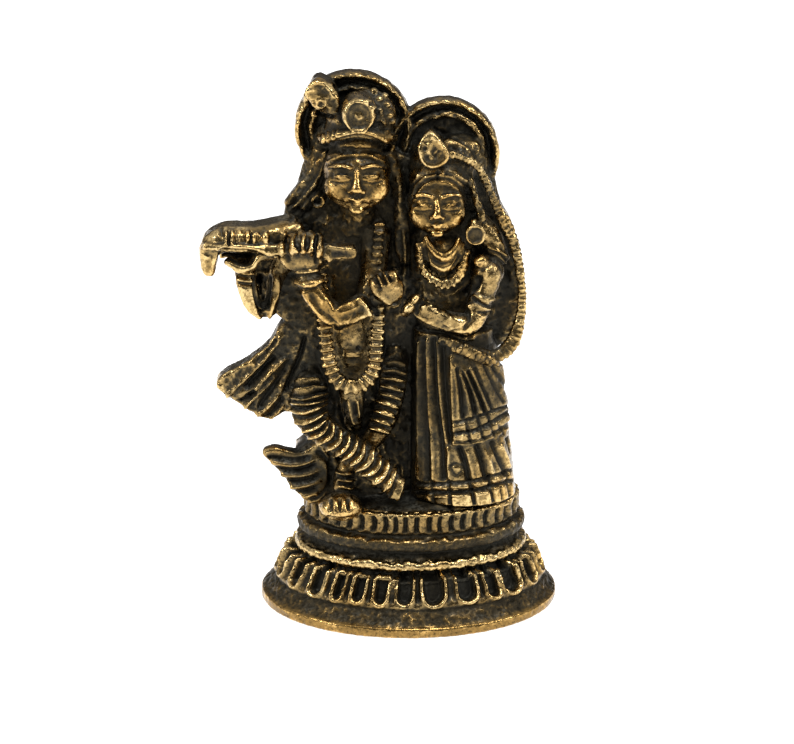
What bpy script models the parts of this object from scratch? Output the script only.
"""A small cast brass idol: a flute player and his companion stand before two haloes on an oval lotus base.

The whole idol is one casting, so it is one object. The base is lofted from oval rings at
its real sizes. The figures are built up from limbs, balls, bands and slabs on a drawing
grid, fused, thinned and joined to the base by a Boolean union.
"""

import math

import bmesh
import bpy
from mathutils import Matrix, Vector

# Sizes of the base, in metres, from the underside up
FOOT_WIDTH = 0.0386
FOOT_DEPTH = 0.0286
RIM_HEIGHT = 0.0014
FLANGE_INSET = 0.0018
FLANGE_HEIGHT = 0.0018
PETAL_LEAN = 0.0015
PETAL_HEIGHT = 0.0037
PETAL_RELIEF = 0.0006
PETAL_LIP = 0.0005
NECK_INSET = 0.0017
NECK_HEIGHT = 0.0004
BEAD_REACH = 0.0005
BEAD_HEIGHT = 0.0013
SCOTIA_DEPTH = 0.0010
SCOTIA_HEIGHT = 0.0014
CORNICE_REACH = 0.0009
CORNICE_HEIGHT = 0.0012
DRUM_INSET = 0.0005
DRUM_HEIGHT = 0.0027
DRUM_RELIEF = 0.00035
DRUM_SHIFT = 0.00045
PETALS = 28

# Size of the figures, in metres, from the top of the base to the top of the taller halo
FIGURE_HEIGHT = 0.0552
SUNK = 0.0010

# Fineness of the fused figures
VOXEL = 0.00028
FIGURE_FACES = 6000

# The figures are drawn on a grid of millimetre squares, x to the right, y away from the
# viewer and z up, on which the base is 14.6 high and the taller halo ends at 69.8.
GRID_FLOOR = 14.6
GRID_TOP = 69.8
UNIT = FIGURE_HEIGHT / (GRID_TOP - GRID_FLOOR)

RING_SIDES = 4 * PETALS
FRONT = Vector((0, -1, 0))


def clear_scene():
    for obj in list(bpy.data.objects):
        bpy.data.objects.remove(obj, do_unlink=True)


def brass():
    """Old brass: warm, worn bright and a little rough."""
    material = bpy.data.materials.new("brass")
    material.use_nodes = True
    shader = material.node_tree.nodes["Principled BSDF"]
    shader.inputs["Base Color"].default_value = (0.42, 0.27, 0.10, 1)
    shader.inputs["Metallic"].default_value = 1.0
    shader.inputs["Roughness"].default_value = 0.38
    material.diffuse_color = (0.42, 0.27, 0.10, 1)
    return material


def add_loft(bm, rings):
    """A closed skin over rings of equal length, with a flat face on the first and the last."""
    rows = [[bm.verts.new(point) for point in ring] for ring in rings]
    count = len(rows[0])
    for low, high in zip(rows, rows[1:]):
        for i in range(count):
            j = (i + 1) % count
            bm.faces.new((low[i], low[j], high[j], high[i]))
    bm.faces.new(list(reversed(rows[0])))
    bm.faces.new(rows[-1])


# The base

def base_levels():
    """The base's moulding from the underside up: inset from the foot's edge, height, kind of relief."""
    levels = []
    inset = 0.0
    height = 0.0

    def step(inward, up, relief=""):
        nonlocal inset, height
        inset += inward
        height += up
        levels.append((inset, height, relief))

    step(0, 0)
    step(0, RIM_HEIGHT)
    step(FLANGE_INSET, FLANGE_HEIGHT)
    lean = PETAL_LEAN / PETAL_HEIGHT
    step(lean * PETAL_LIP, PETAL_LIP)
    step(lean * PETAL_LIP, PETAL_LIP, "petals")
    step(lean * (PETAL_HEIGHT - 3 * PETAL_LIP), PETAL_HEIGHT - 3 * PETAL_LIP, "petals")
    step(lean * PETAL_LIP, PETAL_LIP)
    step(NECK_INSET, NECK_HEIGHT)
    step(-BEAD_REACH, BEAD_HEIGHT / 2)
    step(BEAD_REACH, BEAD_HEIGHT / 2)
    step(SCOTIA_DEPTH - BEAD_REACH, SCOTIA_HEIGHT / 2)
    step(-CORNICE_REACH, SCOTIA_HEIGHT / 2)
    step(0, CORNICE_HEIGHT)
    step(DRUM_INSET + DRUM_RELIEF, CORNICE_HEIGHT / 3)
    step(-DRUM_RELIEF, DRUM_RELIEF, "ribs")
    step(0, DRUM_HEIGHT - 2 * DRUM_RELIEF, "ribs")
    step(DRUM_RELIEF, DRUM_RELIEF)
    return levels


BASE_LEVELS = base_levels()
BASE_TOP = BASE_LEVELS[-1][1]


def relief_depth(kind, side):
    """How far the relief is sunk at one side of a ring: hollow petals, or upright ribs."""
    if kind == "petals" and side % 4:
        return PETAL_RELIEF
    if kind == "ribs" and side % 2:
        return DRUM_RELIEF
    return 0.0


def even_angles(width, depth, count):
    """Angles that divide the outline of an oval into steps of equal length."""
    fine = 40 * count
    lengths = [0.0]
    for step in range(fine):
        a, b = 2 * math.pi * step / fine, 2 * math.pi * (step + 1) / fine
        lengths.append(lengths[-1] + math.hypot(
            width * (math.cos(b) - math.cos(a)), depth * (math.sin(b) - math.sin(a))))
    angles = []
    at = 0
    for side in range(count):
        while lengths[at] < lengths[-1] * side / count:
            at += 1
        angles.append(2 * math.pi * at / fine)
    return angles


RING_ANGLES = even_angles(FOOT_WIDTH, FOOT_DEPTH, RING_SIDES)


def oval_ring(inset, height, relief=""):
    """One ring of the base, squarer and shifted a little towards its top."""
    share = height / BASE_TOP
    power = 2.05 + 0.35 * share
    ring = []
    for side, angle in enumerate(RING_ANGLES):
        cos, sin = math.cos(angle), math.sin(angle)
        sunk = inset + relief_depth(relief, side)
        x = (FOOT_WIDTH / 2 - sunk) * math.copysign(abs(cos) ** (2 / power), cos)
        y = (FOOT_DEPTH / 2 - sunk) * math.copysign(abs(sin) ** (2 / power), sin)
        ring.append(Vector((x + DRUM_SHIFT * share, y, height)))
    return ring


def base_mesh():
    bm = bmesh.new()
    add_loft(bm, [oval_ring(*level) for level in BASE_LEVELS])
    bmesh.ops.recalc_face_normals(bm, faces=bm.faces)
    mesh = bpy.data.meshes.new("base")
    bm.to_mesh(mesh)
    bm.free()
    return mesh


# Shapes that the figures are built up from

def grid(x, y, z):
    """A point of the drawing grid, in metres."""
    return Vector((x * UNIT, y * UNIT, BASE_TOP + (z - GRID_FLOOR) * UNIT))


def smooth_rows(rows, steps):
    """A smooth curve through rows of numbers, with the given steps from each row to the next."""
    padded = [rows[0]] + list(rows) + [rows[-1]]
    curve = []
    for before, a, b, after in zip(padded, padded[1:], padded[2:], padded[3:]):
        for step in range(steps):
            t = step / steps
            curve.append([
                0.5 * (2 * p1 + (p2 - p0) * t + (2 * p0 - 5 * p1 + 4 * p2 - p3) * t * t
                       + (3 * p1 - p0 - 3 * p2 + p3) * t ** 3)
                for p0, p1, p2, p3 in zip(before, a, b, after)
            ])
    return curve + [list(rows[-1])]


def add_ball(bm, centre, radii, lean=0.0, turn=0.0):
    """An ellipsoid; lean tips it sideways and turn swings it about the upright, in degrees."""
    matrix = (
        Matrix.Translation(grid(*centre))
        @ Matrix.Rotation(math.radians(turn), 4, "Z")
        @ Matrix.Rotation(math.radians(lean), 4, "Y")
        @ Matrix.Diagonal([radius * UNIT for radius in radii] + [1])
    )
    bmesh.ops.create_icosphere(bm, subdivisions=3, radius=1.0, matrix=matrix)


def add_limb(bm, rows, steps=5, power=2.0, pitch=0.0, relief=0.0):
    """A tapered tube through rows of x, y, z, half width and half thickness.

    A power over 2 squares its section, and pitch and relief give it ribs across its length.
    """
    curve = smooth_rows(rows, steps)
    if pitch:
        curve = resample(curve, pitch / 4)
    centres = [grid(*row[:3]) for row in curve]
    rings = []
    run = 0.0
    for i, (centre, row) in enumerate(zip(centres, curve)):
        tangent = (centres[min(i + 1, len(centres) - 1)] - centres[max(i - 1, 0)]).normalized()
        run += (centre - centres[i - 1]).length / UNIT if i else 0.0
        aside = tangent.cross(FRONT if abs(tangent.y) < 0.9 else Vector((0, 0, 1))).normalized()
        out = aside.cross(tangent)
        rib = relief * math.cos(2 * math.pi * run / pitch) if pitch else 0.0
        rings.append(section(centre, aside * (row[3] + rib), out * (row[4] + rib), power))
    ends = [end_ring(rings[0], centres[0], centres[1]), end_ring(rings[-1], centres[-1], centres[-2])]
    add_loft(bm, [ends[0]] + rings + [ends[1]])


def resample(curve, spacing):
    """The same curve with points an even distance apart."""
    lengths = [0.0]
    for a, b in zip(curve, curve[1:]):
        lengths.append(lengths[-1] + math.dist(a[:3], b[:3]))
    count = max(2, round(lengths[-1] / spacing))
    rows = []
    at = 0
    for step in range(count + 1):
        target = lengths[-1] * step / count
        while at < len(curve) - 2 and lengths[at + 1] < target:
            at += 1
        span = lengths[at + 1] - lengths[at] or 1.0
        t = (target - lengths[at]) / span
        rows.append([p + (q - p) * t for p, q in zip(curve[at], curve[at + 1])])
    return rows


def section(centre, aside, out, power, sides=14):
    """An oval ring around a centre; a high power makes it nearly square."""
    ring = []
    for side in range(sides):
        angle = 2 * math.pi * side / sides
        cos, sin = math.cos(angle), math.sin(angle)
        a = math.copysign(abs(cos) ** (2 / power), cos) * UNIT
        b = math.copysign(abs(sin) ** (2 / power), sin) * UNIT
        ring.append(centre + aside * a + out * b)
    return ring


def end_ring(ring, centre, inner):
    """A smaller ring just past a limb's end, which rounds it."""
    width = max((point - centre).length for point in ring)
    past = (centre - inner).normalized() * width * 0.35
    return [centre + (point - centre) * 0.55 + past for point in ring]


def add_slab(bm, outline, front, back, steps=1):
    """A plate with the given outline in x and z, smoothed where steps is over 1, from front to back in y."""
    if steps > 1:
        outline = smooth_rows(list(outline) + [outline[0]], steps)[:-1]
    face = bm.faces.new([bm.verts.new(grid(x, back, z)) for x, z in outline])
    pushed = bmesh.ops.extrude_face_region(bm, geom=[face])["geom"]
    moved = [part for part in pushed if isinstance(part, bmesh.types.BMVert)]
    bmesh.ops.translate(bm, verts=moved, vec=FRONT * (back - front) * UNIT)


def add_disc(bm, centre, radii, profile):
    """A round plate that faces the viewer, turned from a profile of share of radius and y."""
    sides = 56
    rings = []
    for share, y in profile:
        angles = [2 * math.pi * side / sides for side in range(sides)]
        rings.append([
            grid(centre[0] + radii[0] * share * math.cos(angle), y,
                 centre[1] + radii[1] * share * math.sin(angle))
            for angle in angles
        ])
    add_loft(bm, rings)


# The figures

HALO_PROFILE = (
    (0.10, 1.0), (0.68, 1.0), (0.71, 0.4), (0.77, 0.4), (0.80, 1.0), (0.89, 1.0),
    (0.92, 0.0), (1.00, 0.1), (1.00, 2.4), (0.94, 3.0), (0.10, 3.2),
)


def add_haloes(bm):
    add_disc(bm, (-6.9, 62.5), (7.35, 7.3), HALO_PROFILE)
    add_disc(bm, (4.2, 59.2), (7.1, 7.2), HALO_PROFILE)


def add_backs(bm):
    """The plain mass behind both figures, which ties them and the haloes together."""
    add_limb(bm, [(-7.0, 1.0, 62, 4.4, 2.6), (-8.0, 0.8, 54, 6.2, 2.8), (-8.0, 0.8, 46, 6.8, 3.0),
                  (-7.6, 0.8, 38, 5.6, 3.0), (-7.2, 0.4, 28, 5.4, 3.2), (-7.0, 0.2, 15, 5.6, 3.8)])
    add_limb(bm, [(4.6, 0.8, 60, 4.8, 2.6), (5.4, 0.8, 52, 6.2, 2.8), (6.6, 0.8, 44, 6.4, 3.2),
                  (6.0, 0.8, 36, 5.8, 3.6)])
    add_slab(bm, [(-9, 60), (3, 58), (4, 34), (3, 14), (-9, 14)], -1.6, 2.6)


def add_ground(bm):
    """A low mound inside the drum's edge, sunk into the base, that the feet stand on."""
    rings = []
    for share, height in ((0.86, BASE_TOP - SUNK), (0.90, BASE_TOP), (0.82, BASE_TOP + SUNK / 3)):
        rings.append([
            Vector((point.x * share, point.y * share, height))
            for point in oval_ring(BASE_LEVELS[-1][0], BASE_TOP)
        ])
    add_loft(bm, rings)


def add_player_head(bm):
    """Head, hair, tall crown with its round jewel, and the feather beside it."""
    add_ball(bm, (-6.4, -2.6, 57.9), (3.7, 4.1, 4.6))
    add_limb(bm, [(-6.5, -1.4, 55, 2.2, 2.2), (-6.8, -1.4, 50, 2.8, 2.2)])
    add_ball(bm, (-6.4, -6.3, 57.6), (0.75, 1.0, 1.9))
    add_ball(bm, (-8.5, -5.6, 60.4), (1.7, 0.6, 0.5), lean=-8)
    add_ball(bm, (-4.3, -5.6, 60.4), (1.7, 0.6, 0.5), lean=8)
    add_ball(bm, (-8.4, -5.9, 59.2), (1.05, 0.6, 0.55))
    add_ball(bm, (-4.4, -5.9, 59.2), (1.05, 0.6, 0.55))
    add_ball(bm, (-6.4, -6.2, 55.0), (1.4, 0.6, 0.45))
    add_ball(bm, (-6.3, -2.0, 64.2), (4.3, 3.6, 4.1))
    add_limb(bm, [(-10.6, -2.6, 62.4, 0.5, 0.6), (-9.0, -5.0, 63.1, 0.5, 0.6),
                  (-6.4, -6.2, 63.7, 0.5, 0.6), (-3.8, -5.2, 63.2, 0.5, 0.6),
                  (-2.0, -2.6, 62.3, 0.5, 0.6)])
    add_disc(bm, (-6.3, 65.9), (2.1, 2.15), ((0.1, -5.3), (0.66, -5.3), (0.76, -6.3), (1.0, -6.1),
                                             (1.1, -3.0), (0.1, -3.0)))
    add_slab(bm, [(-12.5, 67.8), (-11.2, 69.5), (-9.4, 68.6), (-8.7, 66.9), (-8.2, 64.6),
                  (-9.6, 65.1), (-11.4, 65.6)], -2.8, 1.0, steps=4)
    add_ball(bm, (-10.4, -2.8, 67.0), (1.0, 0.7, 0.8))
    add_limb(bm, [(-10.6, -0.6, 62.0, 1.3, 1.8), (-12.2, -0.8, 58.2, 1.5, 1.9),
                  (-13.2, -0.9, 55.5, 1.9, 2.0), (-14.0, -1.0, 52.0, 2.2, 2.4)])
    add_limb(bm, [(-2.3, -1.0, 61.5, 1.3, 1.6), (-1.4, -1.4, 57.0, 1.2, 1.6),
                  (-0.8, -2.4, 52.0, 1.3, 1.5), (-0.4, -3.0, 46.5, 1.1, 1.2)])
    add_limb(bm, [(-11.2, -4.6, 55.2, 0.6, 0.5), (-11.3, -4.8, 54.0, 0.8, 0.5)])


def add_player_arms(bm):
    """Both arms raised to the left with the flute held level across them."""
    add_limb(bm, [(-14.2, -3.4, 50.6, 2.0, 2.6), (-18.5, -5.0, 50.4, 1.7, 2.8),
                  (-22.5, -5.4, 50.4, 1.7, 2.7), (-24.4, -5.6, 49.6, 1.4, 2.4)], power=3)
    add_limb(bm, [(-23.4, -6.4, 50.4, 1.1, 1.5), (-24.6, -6.6, 49.2, 1.1, 1.5),
                  (-24.9, -6.6, 47.4, 0.95, 1.3), (-24.7, -6.6, 46.2, 0.7, 1.1)], power=2.6)
    add_limb(bm, [(-25.0, -8.0, 50.1, 0.55, 0.6), (-18.0, -8.1, 49.9, 0.6, 0.6),
                  (-13.0, -8.0, 49.6, 0.8, 0.8), (-10.0, -7.9, 49.4, 0.85, 0.8),
                  (-6.6, -7.7, 49.4, 0.75, 0.7)])
    add_limb(bm, [(-22.2, -7.2, 48.2, 0.5, 0.7), (-20.8, -7.8, 47.4, 0.5, 0.6),
                  (-19.3, -7.8, 47.4, 0.5, 0.6), (-18.3, -7.8, 48.6, 0.5, 0.6),
                  (-16.6, -7.6, 49.0, 0.6, 0.7)])
    for x in (-21.9, -20.6, -19.3, -18.0, -16.9):
        add_ball(bm, (x, -7.6, 51.2), (0.5, 0.7, 0.9))
    add_slab(bm, [(-23.6, 49.6), (-15, 50), (-13, 38), (-16, 38.9), (-17, 39.5), (-18.9, 40.2),
                  (-20.3, 41.5), (-21.1, 43.5), (-21.6, 45.9), (-22.8, 46.6), (-23.7, 46.5)], -4.2,
             -0.4)
    add_limb(bm, [(-20.2, -5.4, 46.6, 1.2, 1.3), (-20.0, -5.8, 43.8, 1.0, 1.2),
                  (-19.2, -5.8, 41.6, 0.9, 1.1), (-18.6, -5.6, 40.9, 0.8, 1.0)])
    add_limb(bm, [(-18.2, -5.0, 41.0, 0.9, 1.0), (-17.0, -4.6, 43.6, 1.2, 1.3),
                  (-15.6, -3.6, 47.5, 1.8, 1.8)])
    add_ball(bm, (-12.7, -6.7, 48.9), (2.7, 2.2, 2.5))
    for x, top in ((-14.5, 50.9), (-13.3, 51.4), (-12.1, 51.3), (-11.0, 50.8)):
        add_limb(bm, [(x, -7.4, top, 0.55, 0.55), (x, -8.6, top - 0.9, 0.6, 0.6),
                      (x + 0.1, -8.7, 49.6, 0.55, 0.6)])
    add_limb(bm, [(-12.5, -6.9, 47.2, 1.2, 1.2), (-12.3, -7.0, 45.2, 1.25, 1.3),
                  (-11.4, -7.2, 43.0, 1.55, 1.5), (-9.9, -7.3, 41.2, 1.6, 1.6),
                  (-8.8, -7.2, 40.6, 1.6, 1.6)])
    add_limb(bm, [(-13.5, -7.0, 45.3, 0.7, 0.9), (-12.2, -8.1, 45.6, 0.7, 0.7),
                  (-10.8, -7.0, 45.7, 0.7, 0.9)])
    add_limb(bm, [(-8.9, -7.2, 40.6, 1.5, 1.5), (-7.3, -6.8, 41.4, 1.65, 1.6),
                  (-5.7, -6.0, 42.4, 1.8, 1.7)])
    add_limb(bm, [(-5.6, -5.4, 42.0, 1.6, 1.6), (-4.6, -3.4, 46.0, 2.0, 2.0),
                  (-4.2, -1.8, 50.5, 2.2, 2.2)])


def add_player_body(bm):
    """Trunk, ribbed garland hanging in a long loop, sash and the mass of cloth behind the legs."""
    add_limb(bm, [(-7.6, -1.2, 51.5, 5.0, 3.0), (-7.6, -1.4, 46.0, 4.8, 3.2),
                  (-7.4, -1.8, 41.0, 3.8, 3.4), (-7.2, -2.0, 35.0, 3.8, 3.6),
                  (-7.2, -1.6, 28.0, 4.0, 3.2)])
    add_ball(bm, (-7.1, -3.4, 37.2), (2.7, 2.8, 3.8))
    add_limb(bm, [(-3.9, -3.6, 51.5, 0.75, 0.6), (-4.3, -4.9, 46.0, 0.8, 0.6),
                  (-4.3, -6.0, 39.6, 0.85, 0.6), (-3.9, -6.2, 36.0, 0.9, 0.6),
                  (-4.6, -6.4, 33.0, 0.95, 0.6), (-7.2, -6.8, 31.3, 1.0, 0.6),
                  (-9.6, -6.4, 33.0, 0.95, 0.6), (-10.1, -6.1, 36.0, 0.9, 0.6),
                  (-10.7, -5.6, 39.6, 0.85, 0.6), (-10.8, -4.6, 45.0, 0.8, 0.6)], power=3,
             pitch=1.1, relief=0.14)
    add_limb(bm, [(-7.3, -5.0, 30.5, 1.5, 0.8), (-7.1, -4.8, 27.0, 1.3, 0.8),
                  (-7.0, -4.4, 24.5, 1.0, 0.8)])
    add_limb(bm, [(-7.4, -5.7, 30.0, 0.3, 0.5), (-7.0, -5.5, 27.6, 0.35, 0.5)])
    add_slab(bm, [(-11.0, 44), (-15.2, 43), (-15.6, 38), (-16.4, 33), (-15.2, 27.4), (-13.4, 24.6),
                  (-12.6, 20), (-12.8, 14.2), (-8, 14.2), (-8, 44)], -2.6, 1.6)
    add_slab(bm, [(-3, 44), (2, 44), (2, 14.2), (-4, 14.2)], -2.6, 1.6)


def add_player_legs(bm):
    """One leg crossed over the other, both in close gathered cloth, with the feet on the ground."""
    add_limb(bm, [(-12.4, -4.0, 31.5, 2.4, 2.0), (-12.5, -4.8, 28.6, 2.8, 2.3),
                  (-11.4, -5.4, 26.2, 2.7, 2.3), (-9.0, -6.2, 24.4, 2.3, 2.1),
                  (-6.2, -6.8, 22.9, 2.0, 1.9), (-3.8, -7.2, 20.8, 1.8, 1.7),
                  (-2.4, -7.4, 18.4, 1.5, 1.4)], pitch=1.35, relief=0.22)
    add_ball(bm, (-2.3, -8.0, 16.6), (1.2, 1.5, 1.0))
    add_limb(bm, [(-1.6, -3.6, 33.8, 1.9, 1.9), (-2.4, -4.2, 29.5, 1.9, 1.9),
                  (-3.7, -4.2, 24.8, 1.7, 1.7), (-6.0, -4.4, 21.6, 1.4, 1.4),
                  (-7.9, -5.2, 19.6, 1.2, 1.3), (-8.0, -5.8, 17.2, 1.3, 1.4)], pitch=1.35,
             relief=0.2)
    add_ball(bm, (-8.3, -7.4, 16.0), (2.3, 1.7, 1.1))
    for x in (-9.9, -8.9, -7.9, -6.9):
        add_ball(bm, (x, -8.5, 15.4), (0.6, 0.8, 0.7))


def add_scarf_ends(bm):
    """The two blown scarf ends on the left, with long folds."""
    add_slab(bm, [(-13.0, 40.0), (-16.2, 37.8), (-17.6, 35.4), (-20.0, 33.2), (-22.0, 32.0),
                  (-23.9, 30.9), (-24.5, 29.7), (-23.9, 28.7), (-22.0, 27.4), (-20.2, 26.1),
                  (-18.0, 25.1), (-15.9, 26.0), (-13.0, 27.0)], -2.4, 0.6)
    for rows in (
        [(-16.8, -2.2, 34.2, 0.4, 0.5), (-19.4, -2.6, 31.4, 0.5, 0.5), (-20.8, -2.6, 29.8, 0.5, 0.5),
         (-23.4, -2.2, 29.4, 0.5, 0.5)],
        [(-16.2, -2.4, 33.2, 0.4, 0.5), (-17.8, -2.9, 30.4, 0.6, 0.6), (-19.2, -2.8, 28.6, 0.6, 0.6),
         (-20.6, -2.2, 26.9, 0.5, 0.5)],
        [(-15.2, -2.4, 32.0, 0.4, 0.5), (-16.8, -2.9, 29.2, 0.5, 0.6), (-18.3, -2.4, 26.2, 0.5, 0.5)],
    ):
        add_limb(bm, rows)
    add_slab(bm, [(-11.0, 23.0), (-13.0, 22.4), (-17.0, 22.4), (-18.3, 22.2), (-18.5, 21.4),
                  (-17.4, 19.6), (-16.4, 18.3), (-14.7, 16.1), (-13.4, 15.4), (-11.0, 14.4)], -5.0,
             -1.4)
    add_limb(bm, [(-17.5, -5.0, 21.0, 0.4, 0.5), (-15.4, -5.2, 20.4, 0.5, 0.5),
                  (-13.0, -5.2, 20.6, 0.5, 0.5)])
    add_limb(bm, [(-16.2, -5.0, 18.7, 0.35, 0.5), (-13.4, -5.2, 19.0, 0.4, 0.5),
                  (-11.4, -5.2, 20.2, 0.4, 0.5)])


def add_companion_head(bm):
    """Head under a veil with a ribbed border, and a leaf-shaped jewel over the brow."""
    add_ball(bm, (3.4, -3.0, 54.4), (3.15, 3.8, 4.0))
    add_ball(bm, (3.4, -6.3, 54.0), (0.6, 0.9, 1.5))
    add_ball(bm, (1.7, -5.9, 55.4), (0.95, 0.5, 0.45))
    add_ball(bm, (5.1, -5.9, 55.4), (0.95, 0.5, 0.45))
    add_ball(bm, (3.4, -6.1, 51.9), (1.1, 0.6, 0.4))
    add_limb(bm, [(3.5, -1.6, 52, 1.9, 2.0), (3.8, -1.6, 48.5, 2.6, 2.0)])
    add_ball(bm, (4.3, -1.4, 58.2), (4.6, 3.4, 4.4))
    add_limb(bm, [(2.9, -4.2, 62.7, 0.4, 0.5), (5.0, -3.6, 62.0, 0.45, 0.5),
                  (7.2, -2.8, 60.8, 0.4, 0.5)])
    add_slab(bm, [(2.4, 63.8), (1.3, 61.6), (1.4, 60.1), (3.0, 59.6), (4.6, 60.6), (3.8, 62.2)],
             -6.6, -4.0, steps=4)
    add_ball(bm, (4.0, -6.0, 58.6), (0.45, 0.5, 0.45))
    add_limb(bm, [(7.6, -2.6, 57.2, 0.7, 0.9), (8.4, -3.0, 54.6, 0.7, 0.9), (9.2, -3.4, 52.0, 0.9, 1.0),
                  (10.0, -3.0, 49.5, 1.2, 1.2)])
    add_disc(bm, (8.1, 50.8), (1.25, 1.35), ((0.1, -6.4), (0.7, -6.4), (0.8, -6.9), (1.0, -6.7),
                                             (1.0, -4.4), (0.1, -4.4)))
    add_slab(bm, [(5.0, 61.6), (7.6, 60.4), (9.2, 58.0), (10.2, 55.0), (11.8, 52.4), (13.0, 50.0),
                  (13.9, 46.0), (14.2, 41.0), (13.6, 37.2), (11.6, 34.8), (10.0, 35.0), (3.0, 38.2),
                  (2.0, 50)], -2.2, 2.0)
    add_limb(bm, [(4.6, -4.8, 60.8, 0.55, 0.5), (6.6, -4.2, 60.2, 0.55, 0.5),
                  (8.6, -3.4, 58.5, 0.55, 0.5), (9.8, -2.9, 55.8, 0.55, 0.5),
                  (11.0, -2.7, 53.1, 0.6, 0.5), (12.7, -2.8, 49.8, 0.6, 0.6),
                  (13.9, -3.0, 44.6, 0.6, 0.6), (14.1, -3.4, 40.2, 0.6, 0.6),
                  (13.3, -4.2, 36.2, 0.6, 0.6), (11.0, -5.2, 34.4, 0.6, 0.6),
                  (8.8, -6.0, 35.2, 0.6, 0.6), (3.8, -6.4, 37.6, 0.55, 0.5)], power=3, pitch=1.2,
             relief=0.12)


def add_companion_arms(bm):
    """Her arm bends across the waist, and her hand lies on his arm."""
    add_ball(bm, (9.6, -3.6, 45.4), (2.0, 2.4, 2.2))
    add_ball(bm, (9.0, -5.4, 47.2), (0.9, 0.8, 0.8))
    add_limb(bm, [(9.4, -4.2, 44.6, 1.7, 1.8), (8.6, -4.8, 42.0, 1.6, 1.7), (7.8, -5.6, 39.8, 1.5, 1.6),
                  (7.0, -6.2, 39.0, 1.4, 1.4)])
    add_limb(bm, [(7.2, -6.2, 39.0, 1.4, 1.4), (5.0, -6.8, 39.8, 1.35, 1.35),
                  (2.4, -7.2, 41.2, 1.2, 1.2), (0.0, -7.4, 42.7, 1.05, 1.1)])
    add_limb(bm, [(-0.7, -7.4, 41.4, 0.5, 0.9), (0.2, -8.4, 42.6, 0.5, 0.6),
                  (1.1, -7.6, 43.8, 0.5, 0.9)])
    add_ball(bm, (-2.5, -7.2, 44.5), (2.2, 1.6, 1.9), lean=35)
    for step in range(4):
        x = -4.2 + 0.75 * step
        add_limb(bm, [(x - 0.3, -7.4, 46.2, 0.4, 0.45), (x + 0.5, -8.2, 45.0, 0.45, 0.5)])


def add_companion_body(bm):
    """Bodice with a bead necklace, and the shawl drawn across it."""
    add_limb(bm, [(4.2, -1.2, 50.0, 4.2, 2.6), (4.6, -1.6, 46.0, 5.0, 3.2), (4.8, -1.8, 42.0, 4.4, 3.4),
                  (5.0, -2.0, 38.0, 4.2, 3.6)])
    add_ball(bm, (4.2, -3.4, 46.8), (3.0, 2.2, 3.2))
    add_limb(bm, [(1.4, -4.6, 49.0, 0.45, 0.5), (1.6, -5.4, 46.6, 0.5, 0.5),
                  (2.8, -5.9, 45.0, 0.5, 0.5), (4.6, -6.1, 44.4, 0.5, 0.5),
                  (6.2, -5.8, 45.6, 0.5, 0.5), (6.9, -5.0, 48.4, 0.5, 0.5)], pitch=1.1, relief=0.1)
    add_limb(bm, [(5.6, -5.4, 43.6, 0.4, 0.5), (7.4, -5.6, 45.4, 0.4, 0.5),
                  (8.4, -5.4, 46.6, 0.5, 0.5)])


SKIRT_WAIST, SKIRT_HEM = 36.5, 15.6
SKIRT_PLEATS = ((1.6, 1.35, 0.45), (2.6, 3.5, 0.6), (3.9, 5.95, 1.0), (5.6, 8.5, 0.9), (7.2, 10.9, 0.85),
                (8.6, 12.7, 0.6))


def skirt_level(z):
    """Left edge, right edge and front of the skirt's bell at a height."""
    fall = max(0.0, (SKIRT_WAIST - z) / (SKIRT_WAIST - SKIRT_HEM))
    return 0.5 - 0.2 * fall, 10.6 + 3.1 * fall ** 0.7, -5.4 - 1.9 * fall


def skirt_front(x, z):
    left, right, front = skirt_level(z)
    across = min(1.0, max(0.0, (x - left) / (right - left)))
    return -1.0 + (front + 1.0) * math.sin(math.pi * across) ** 0.4


def add_companion_skirt(bm):
    """A bell-shaped skirt in deep pleats over a stepped hem, and an apron of fanned folds over it."""
    rings = []
    for z in (37.6, 34.0, 29.0, 24.0, 19.0, SKIRT_HEM, 13.9):
        left, right, _ = skirt_level(z)
        tuck = 1.2 if z < SKIRT_HEM else 0.0
        ring = []
        for step in range(41):
            x = left + (right - left) * step / 40
            ring.append(grid(x, skirt_front(x, z) + tuck, z))
        for step in range(1, 16):
            angle = math.pi * step / 16
            ring.append(grid(
                (left + right) / 2 + (right - left) / 2 * math.cos(angle),
                -0.5 + 4.4 * math.sin(angle) ** 0.7,
                z,
            ))
        rings.append(ring)
    add_loft(bm, rings)
    for top, foot, half in SKIRT_PLEATS:
        for high, low in ((35.0, 19.3), (18.7, 17.8), (17.2, 15.9)):
            rows = []
            for step in range(4):
                z = high + (low - high) * step / 3
                fall = (SKIRT_WAIST - z) / (SKIRT_WAIST - SKIRT_HEM)
                x = top + (foot - top) * fall
                rows.append((x, skirt_front(x, z) + 0.1, z, 0.25 + (half - 0.25) * fall, 0.75))
            add_limb(bm, rows, steps=2, power=4)
    add_slab(bm, [(5.0, 36.2), (5.2, 28.0), (5.6, 24.0), (8.4, 24.2), (10.4, 25.2), (12.4, 27.0),
                  (12.5, 29.5), (10.9, 34.4)], -7.0, -3.0)
    for top, foot in (((5.3, 35.4), (5.7, 27.6)), ((6.4, 34.8), (7.8, 27.7)), ((7.1, 34.6), (9.2, 28.4)),
                      ((7.8, 34.4), (10.4, 29.0)), ((8.6, 34.0), (11.8, 29.8))):
        add_limb(bm, [(top[0], -6.7, top[1], 0.3, 0.5), (foot[0], -7.2, foot[1], 0.45, 0.6)])
    for rise, y in ((0.0, -7.2), (-1.9, -7.3)):
        add_limb(bm, [(5.6, y, 26.3 + rise, 0.65, 0.5), (8.2, y, 26.6 + rise, 0.65, 0.5),
                      (10.4, y + 0.2, 27.6 + rise, 0.65, 0.5),
                      (12.0, y + 1.2, 28.8 + rise, 0.6, 0.5)], power=4)


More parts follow.
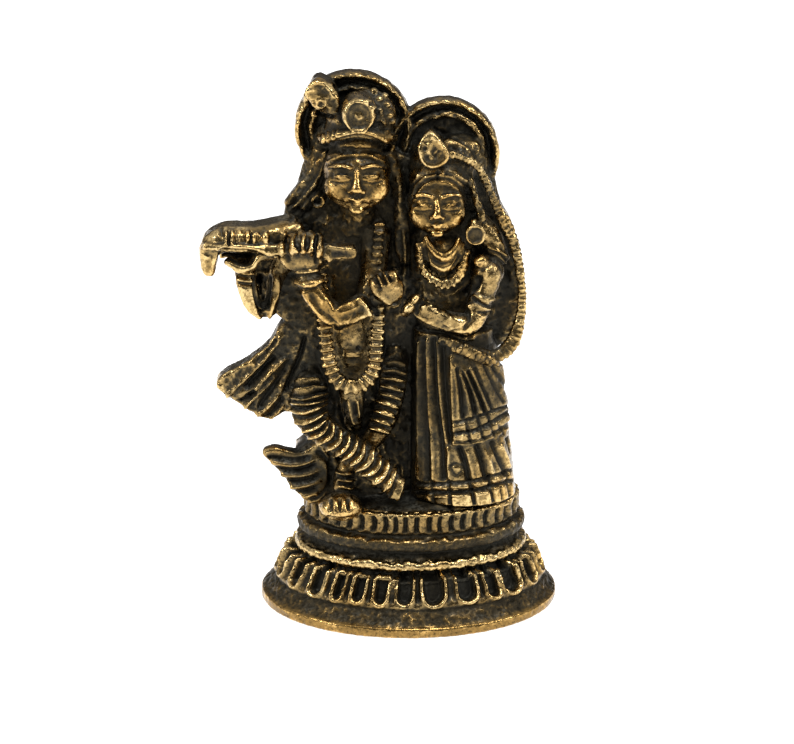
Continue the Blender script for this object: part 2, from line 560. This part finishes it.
def largest_body(bm):
    """Deletes all but the body with the most vertices, such as the skin of a hollow inside it."""
    left = set(bm.verts)
    bodies = []
    while left:
        stack = [left.pop()]
        body = set(stack)
        while stack:
            for edge in stack.pop().link_edges:
                for vert in edge.verts:
                    if vert in left:
                        left.remove(vert)
                        body.add(vert)
                        stack.append(vert)
        bodies.append(body)
    bodies.sort(key=len)
    for body in bodies[:-1]:
        bmesh.ops.delete(bm, geom=list(body), context="VERTS")


def with_modifier(mesh, kind, **settings):
    """A new mesh: this one with one modifier applied."""
    obj = bpy.data.objects.new("work", mesh)
    bpy.context.collection.objects.link(obj)
    modifier = obj.modifiers.new(kind, kind)
    for name, value in settings.items():
        setattr(modifier, name, value)
    graph = bpy.context.evaluated_depsgraph_get()
    made = bpy.data.meshes.new_from_object(obj.evaluated_get(graph))
    bpy.data.objects.remove(obj, do_unlink=True)
    return made


def figures_mesh():
    """All shapes of the figures, fused into one closed skin and thinned."""
    bm = bmesh.new()
    for add in (
        add_ground, add_backs, add_haloes, add_player_head, add_player_arms, add_player_body, add_player_legs,
        add_scarf_ends, add_companion_head, add_companion_arms, add_companion_body, add_companion_skirt,
    ):
        add(bm)
    bmesh.ops.recalc_face_normals(bm, faces=bm.faces)
    mesh = bpy.data.meshes.new("figures")
    bm.to_mesh(mesh)
    bm.free()
    fused = with_modifier(mesh, "REMESH", mode="VOXEL", voxel_size=VOXEL)
    bm = bmesh.new()
    bm.from_mesh(fused)
    largest_body(bm)
    bmesh.ops.triangulate(bm, faces=bm.faces)
    faces = len(bm.faces)
    bm.to_mesh(fused)
    bm.free()
    return with_modifier(fused, "DECIMATE", ratio=FIGURE_FACES / faces)


def build():
    clear_scene()
    figures = bpy.data.objects.new("figures", figures_mesh())
    figures.hide_render = True
    figures.display_type = "WIRE"
    statue = bpy.data.objects.new("radha_krishna_statue", base_mesh())
    for obj in (statue, figures):
        bpy.context.collection.objects.link(obj)
        obj.data.materials.clear()
        obj.data.materials.append(bpy.data.materials.get("brass") or brass())
        obj.data.shade_smooth()
    union = statue.modifiers.new("join figures", "BOOLEAN")
    union.operation = "UNION"
    union.object = figures


build()
